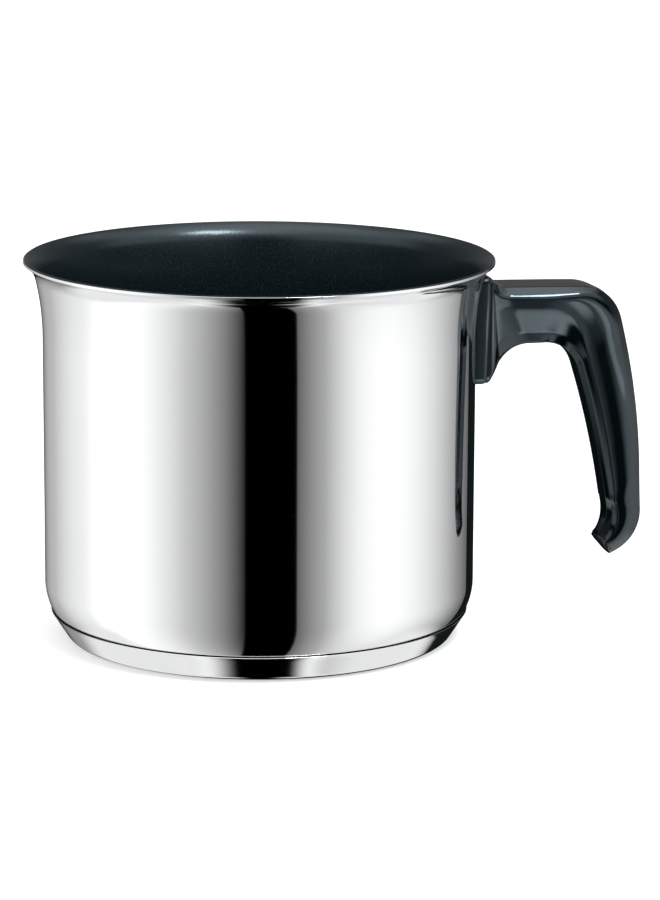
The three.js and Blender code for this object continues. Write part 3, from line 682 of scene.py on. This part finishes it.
def plated(name, color, scale, low, high):
    """Dull plated or stamped steel whose roughness and tone follow two sizes of noise."""
    made, nodes, links, shader = material(name, color, metallic=1.0, roughness=(low + high) / 2)
    place = nodes("ShaderNodeTexCoord").outputs["Object"]
    grain = noise(nodes, links, place, scale, detail=3.0)
    links(spread(nodes, links, grain, low, high), shader.inputs["Roughness"])
    cloud = noise(nodes, links, place, scale / 4, detail=2.0)
    dark = [part * DARK_SHARE for part in color]
    links(two_tone(nodes, links, cloud, dark, color), shader.inputs["Base Color"])
    return made


def cross_arm(along):
    """One arm of the driver's cross as a tapered block, wide at the mouth and narrow inside."""
    corners = np.array([[-1, -1], [1, -1], [1, 1], [-1, 1]])
    size = np.array([CROSS_HALF_LENGTH, CROSS_HALF_WIDTH])[::1 if along else -1]
    levels = [(HEAD_BOTTOM - CROSS_OVERRUN, CROSS_MOUTH), (HEAD_BOTTOM + CROSS_DEPTH, CROSS_TIP)]
    rings = [np.column_stack([corners * size * scale + [SCREW_X, 0], np.full(4, z)]) for z, scale in levels]
    return skinned(np.array(rings))


def washer_ring():
    """A square wire with rounded edges carried round the screw, short of a full turn by the split:
    (x + (r + u) cos a, (r + u) sin a, z + v) on a grid of angle by wire point."""
    inner = SCREW_RADIUS + SCREW_ROOM
    middle, half = (inner + WASHER_RADIUS) / 2, np.array([(WASHER_RADIUS - inner) / 2, WASHER_HEIGHT / 2])
    wire = rounded_rectangle(half - WASHER_EDGE, WASHER_EDGE, WASHER_EDGE_STEPS)
    gap = np.arcsin(WASHER_SPLIT / 2 / inner)
    angle = np.linspace(gap, 2 * np.pi - gap, WASHER_STEPS + 1)[:, None]
    radius, level = middle + wire[:, 0], HEAD_SEAT + FACE_GAP + half[1] + wire[:, 1]
    rings = np.stack([SCREW_X + radius * np.cos(angle), radius * np.sin(angle),
                      np.broadcast_to(level, (len(angle), len(wire)))], -1)
    return skinned(rings, flip=True)


def screw_profile():
    """Head with a rounded edge, shank and blunt tip, as (radius, height) from below."""
    tip = TONGUE_TOP + SCREW_PROUD
    centre = [SCREW_HEAD_RADIUS - HEAD_ROUND, HEAD_BOTTOM + HEAD_ROUND]
    edge = arc(centre, HEAD_ROUND, -np.pi / 2, 0, HEAD_STEPS)
    return np.vstack([
        [0, HEAD_BOTTOM], edge, [SCREW_HEAD_RADIUS, HEAD_SEAT], [SCREW_RADIUS, HEAD_SEAT],
        [SCREW_RADIUS, tip - SCREW_POINT], [SCREW_RADIUS - SCREW_POINT, tip], [0, tip]])


zinc = plated("zinc_plate", (0.62, 0.63, 0.63), scale=1500.0, low=0.22, high=0.42)
screw = piece("screw", *turned(screw_profile(), SCREW_X, SCREW_TURNS))
for along in (True, False):
    combined(screw, piece("cross", *cross_arm(along)), "DIFFERENCE")
creased(screw.data, CUT_CREASE)
washer = piece("spring_washer", *washer_ring())
for fastener, node in ((screw, "handle_screw"), (washer, "lock_washer")):
    finished(fastener, zinc)
    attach(fastener, "root")
    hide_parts(node)

stamped_steel = plated("stamped_steel", (0.6, 0.61, 0.62), scale=700.0, low=0.3, high=0.5)
finished(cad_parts["handle_bracket"], stamped_steel)


# Studio. A pale floor, a tall white panel on each side with a dark gap between them in front
# of the pan and behind it, a soft ceiling and one lamp overhead. Black cards darken what the
# steel and the handle mirror, and glowing cards light the handle alone.
PAN_TURN = 12.0
BACKDROP, ROOM_LIGHT = 1.2, 1.04
WALL_RAY, BEARING_POWER = 0.978, 0.75
LAMP_WIDTH, LAMP_DEPTH, LAMP_POWER = 0.36, 0.22, 7.5
LAMP_PLACE, LAMP_AIM = (0.275, -0.61, 1.1), (0.0, 0.0, 0.1)
FLOOR_REACH, FLOOR_LEVEL, FLOOR_GLOW = 6.0, -0.0002, 0.35


def studio_floor():
    """A pale table top that carries on as the backdrop. Mirrors look past it to the panels."""
    mesh = bpy.data.meshes.new("studio_floor")
    signs = [(-1, -1), (1, -1), (1, 1), (-1, 1)]
    corners = [(x * FLOOR_REACH, y * FLOOR_REACH, FLOOR_LEVEL) for x, y in signs]
    mesh.from_pydata(corners, [], [(0, 1, 2, 3)])
    floor = bpy.data.objects.new("studio_floor", mesh)
    bpy.context.scene.collection.objects.link(floor)
    made, nodes, links, shader = material(
        "pale_table", (0.85, 0.85, 0.85), metallic=0.0, roughness=0.9,
        **{"Emission Color": (1, 1, 1, 1), "Emission Strength": FLOOR_GLOW})
    place = nodes("ShaderNodeTexCoord").outputs["Object"]
    mottle = noise(nodes, links, place, scale=30.0, detail=2.0)
    links(spread(nodes, links, mottle, low=0.85, high=0.95), shader.inputs["Roughness"])
    mesh.materials.append(made)
    floor.visible_glossy = False


def studio_room():
    """The room as light from each direction (x, y, z), turned so that the camera looks along +Y.
    Level light is a bent line of the bearing, |x| (w / sqrt(1 - z^2))^p with w and p the wall ray
    and the bearing power, so that it grows from the dark gap to the panels at the sides, and it
    dims behind. Straight down a white table with a slit takes over, overhead a soft ceiling."""
    world = bpy.data.worlds.new("studio")
    bpy.context.scene.world = world
    world.use_nodes = True
    nodes, links = world.node_tree.nodes.new, world.node_tree.links.new

    def sums(operation, *values):
        return maths(nodes, links, operation, *values)

    def step(value, start, end, low=0.0, high=1.0):
        return spread(nodes, links, value, low, high, start, end, "SMOOTHSTEP")

    def mix(share, a, b):
        return sums("ADD", a, sums("MULTIPLY", share, sums("SUBTRACT", b, a)))

    turn = nodes("ShaderNodeVectorRotate")
    turn.rotation_type = "Z_AXIS"
    turn.inputs["Angle"].default_value = np.radians(PAN_TURN)
    links(nodes("ShaderNodeTexCoord").outputs["Generated"], turn.inputs["Vector"])
    split = nodes("ShaderNodeSeparateXYZ")
    links(turn.outputs[0], split.inputs[0])
    x, y, z = split.outputs
    side = sums("ABSOLUTE", x)
    right = step(x, -0.02, 0.02)
    behind = step(y, 0.1, 0.75)
    down = step(z, -0.93, -0.975)

    # Bearing: steep rays count as wider ones. The wall mirrors rays whose flat length is the
    # cosine of the camera's tilt, and for those it is |x| itself.
    flat_length = sums("SQRT", sums("MAXIMUM", sums("SUBTRACT", 1.0, sums("MULTIPLY", z, z)), 0.02))
    widen = sums("POWER", sums("DIVIDE", WALL_RAY, flat_length), BEARING_POWER)
    bearing = sums("MULTIPLY", side, widen)

    def above(start, slope):
        return sums("MULTIPLY", sums("MAXIMUM", sums("SUBTRACT", bearing, start), 0.0), slope)

    # Panels: two slopes each, from the gap and from the panel's far part, then dimmed behind.
    left_level = sums("ADD", above(0.095, 1.36), above(0.6, 0.7))
    left_dim = mix(step(y, -0.05, 0.3), 1.0, mix(step(y, 0.72, 0.9), 0.78, 0.98))
    left_level = sums("MULTIPLY", left_level, left_dim)
    right_level = sums("ADD", above(0.247, 1.5), above(0.57, 1.2))
    right_dim = sums("MINIMUM", sums("MAXIMUM", sums("MULTIPLY_ADD", y, -0.49, 0.725), 0.4), 1.0)
    right_level = sums("MULTIPLY", right_level, right_dim)
    level = sums("MINIMUM", mix(right, left_level, right_level), 1.9)

    # Table: what the heel and the ring mirror, white with a slit under the gap.
    table = mix(right, step(side, 0.11, 0.31), step(side, 0.165, 0.29))
    low = mix(down, level, sums("MULTIPLY", table, 1.3))

    # Gap: its two edges in front, and the slit that is left of it behind.
    gap_left = step(x, mix(behind, -0.1, -0.18), mix(behind, -0.112, -0.19))
    gap_right = mix(behind, mix(down, 0.342, 0.18), 0.5)
    gap_right = step(sums("SUBTRACT", sums("MULTIPLY", x, widen), gap_right), 0.0, 0.012)
    low = sums("MULTIPLY", sums("MAXIMUM", gap_left, gap_right), low)
    rear = sums("MULTIPLY", step(y, -0.05, 0.15), step(z, -0.5, -0.66))
    low = mix(rear, low, step(side, 0.04, 0.13))

    # Ceiling: brighter with height, in front less so along the middle than at the sides.
    narrow = sums("ADD", step(z, 0.34, 0.46, 0.0, 0.28), step(z, 0.55, 0.82, 0.0, 2.4))
    wide = sums("ADD", step(z, 0.15, 0.5, 0.0, 1.15), step(z, 0.62, 0.95, 0.0, 1.4))
    front = mix(step(side, 0.1, 0.4), narrow, wide)
    flank = sums("MULTIPLY", step(side, 0.3, 0.55), step(z, 0.5, 0.75))
    back = sums("MULTIPLY_ADD", sums("MAXIMUM", flank, step(z, 0.75, 0.97)), 0.98, 0.16)
    ceiling = mix(step(y, -0.1, 0.25), front, back)
    shine = mix(mix(behind, step(z, -0.06, 0.08), step(z, -0.12, 0.0)), low, ceiling)

    # Mirrors see that light. The camera sees a plain backdrop and matt surfaces an even room.
    background = nodes("ShaderNodeBackground")
    background.inputs["Color"].default_value = (1, 1, 1, 1)
    links(shine, background.inputs["Strength"])
    path = nodes("ShaderNodeLightPath")
    plain = nodes("ShaderNodeBackground")
    plain.inputs["Color"].default_value = (1, 1, 1, 1)
    strength = mix(path.outputs["Is Camera Ray"], ROOM_LIGHT, BACKDROP)
    links(strength, plain.inputs["Strength"])
    chosen = nodes("ShaderNodeMixShader")
    even = sums("MAXIMUM", path.outputs["Is Camera Ray"], path.outputs["Is Diffuse Ray"])
    links(even, chosen.inputs[0])
    links(background.outputs[0], chosen.inputs[1])
    links(plain.outputs[0], chosen.inputs[2])
    output = world.node_tree.nodes["World Output"]
    links(chosen.outputs[0], output.inputs["Surface"])


def placed(x, y, z, at):
    """The matrix of an object with the given axes at the given point."""
    return Matrix(np.vstack([np.column_stack([x, y, z, at]), [0, 0, 0, 1]]).tolist())


def facing(thing, place, target):
    """Puts a lamp at a place, looking at a target."""
    back = np.array(place, float) - target
    back /= np.linalg.norm(back)
    side = np.cross([0, 0, 1], back)
    side /= np.linalg.norm(side)
    thing.matrix_world = placed(side, np.cross(back, side), back, place)


def studio_card(name, low, high):
    """A flat card between two corners given in millimetres in the camera's frame, turned into the
    pan's. Only mirrors see it."""
    (x0, y0, z0), (x1, y1, z1) = low, high
    corners = [(x0, y0, z0), (x1, y0, z0), (x1, y1, z1), (x0, y1, z1)]
    card = piece(name, corners, [(0, 1, 2, 3)])
    turn = Matrix.Rotation(np.radians(-PAN_TURN), 4, "Z")
    card.data.transform(turn)
    card.visible_camera = card.visible_diffuse = card.visible_shadow = card.visible_transmission = False
    return card


def black_card(name, low, high):
    """A card of black felt behind the pan, which the wall's right edge and the handle mirror.
    It glows faintly blue: a painted glow in what they mirror of it.
    """
    card = studio_card(name, low, high)
    # Painted glow: a faint blue emission, so what mirrors show of the black felt is not pure black.
    made, nodes, links, shader = material(
        "black_felt_painted_glow", (0.0, 0.0, 0.0), metallic=0.0, roughness=1.0,
        **{"Specular IOR Level": 0.0, "Emission Color": (0.6, 0.85, 1.0, 1), "Emission Strength": 0.012})
    place = nodes("ShaderNodeTexCoord").outputs["Object"]
    nap = noise(nodes, links, place, scale=800.0)
    links(spread(nodes, links, nap, low=0.9, high=1.0), shader.inputs["Roughness"])
    card.data.materials.append(made)


def handle_glow(name, low, high, strength, edges, lean=0.0):
    """Light that only the handle mirrors: a card with an axis, start and end for each soft edge, as
    smoothstep in metres, one product of all of them times the strength. A lean in degrees turns
    the edges against the card."""
    card = studio_card(name, low, high)
    made = bpy.data.materials.new(name)
    made.use_nodes = True
    tree = made.node_tree
    nodes, links = tree.nodes.new, tree.links.new
    tree.nodes.remove(tree.nodes["Principled BSDF"])
    turned_place = nodes("ShaderNodeMapping")
    turned_place.inputs["Rotation"].default_value = (0, 0, np.radians(PAN_TURN - lean))
    links(nodes("ShaderNodeTexCoord").outputs["Object"], turned_place.inputs["Vector"])
    split = nodes("ShaderNodeSeparateXYZ")
    links(turned_place.outputs["Vector"], split.inputs[0])
    amount = strength
    for axis, start, end in edges:
        edge = spread(nodes, links, split.outputs[axis], 0.0, 1.0, start, end, "SMOOTHSTEP")
        amount = maths(nodes, links, "MULTIPLY", amount, edge)
    glow = nodes("ShaderNodeEmission")
    links(amount, glow.inputs["Strength"])
    both = nodes("ShaderNodeAddShader")
    links(glow.outputs[0], both.inputs[0])
    links(nodes("ShaderNodeBsdfTransparent").outputs[0], both.inputs[1])
    links(both.outputs[0], tree.nodes["Material Output"].inputs["Surface"])
    card.data.materials.append(made)
    receivers = bpy.data.collections.new(name)
    receivers.objects.link(handle)
    card.light_linking.receiver_collection = receivers


def studio_lamp():
    """The overhead lamp: a soft box a little in front of the pan and to its right."""
    data = bpy.data.lights.new("overhead_lamp", "AREA")
    data.shape, data.size, data.size_y, data.energy = "RECTANGLE", LAMP_WIDTH, LAMP_DEPTH, LAMP_POWER
    lamp = bpy.data.objects.new("overhead_lamp", data)
    bpy.context.scene.collection.objects.link(lamp)
    facing(lamp, LAMP_PLACE, np.array(LAMP_AIM))
    lamp.visible_camera = False


studio_floor()
studio_room()
studio_lamp()
black_card("far_card", (-175, 500, -1500), (358, 500, 60))
black_card("near_card", (-70, 160, -50), (75, 160, 110))
handle_glow("table_glow", (-200, -3600, -1000), (2400, 0, -1000), strength=2.3,
            edges=[(0, 0.15, 0.36), (0, 0.8, 0.5), (1, -2.6, -1.9), (1, -0.6, -0.85)], lean=20.0)
handle_glow("root_glow", (120, -260, 65), (400, 0, 65), strength=1.5,
            edges=[(0, 0.175, 0.215), (0, 0.38, 0.3), (1, -0.21, -0.15), (1, 0.0, -0.04)])
handle_glow("front_glow", (340, -500, -500), (900, -500, 320), strength=0.26,
            edges=[(0, 0.38, 0.44), (2, 0.3, 0.2)])
handle_glow("corner_glow", (650, -620, 60), (650, 160, 500), strength=1.8,
            edges=[(1, -0.62, -0.5), (1, 0.16, 0.06), (2, 0.14, 0.2), (2, 0.5, 0.45)])
bpy.context.scene.view_settings.view_transform = "Standard"

# Camera. Metres and degrees, as fitted to the pan's outline in the photograph, with the focal
# length in pixels of its long side. It aims a little out from the pot's axis to the handle.
DISTANCE, TILT, ROLL, AIM_OUT, AIM_HEIGHT = 1.23739, 12.127, 0.288, 0.02299, 0.060557
FOCAL_PIXELS, LONG_SIDE_PIXELS = 3800.0, 900
ahead, tilt, roll = np.radians(-PAN_TURN), np.radians(TILT), np.radians(ROLL)
aim = np.array([AIM_OUT * np.cos(ahead), AIM_OUT * np.sin(ahead), AIM_HEIGHT])
back = np.array([np.sin(ahead) * np.cos(tilt), -np.cos(ahead) * np.cos(tilt), np.sin(tilt)])
across = np.array([np.cos(ahead), np.sin(ahead), 0.0])
up = np.cross(back, across)
across, up = across * np.cos(roll) + up * np.sin(roll), up * np.cos(roll) - across * np.sin(roll)
data = bpy.data.cameras.new("camera")
data.lens = FOCAL_PIXELS / LONG_SIDE_PIXELS * data.sensor_width
data.clip_start = 0.01
camera = bpy.data.objects.new("camera", data)
bpy.context.scene.collection.objects.link(camera)
camera.matrix_world = placed(across, up, back, aim + back * DISTANCE)
bpy.context.scene.camera = camera
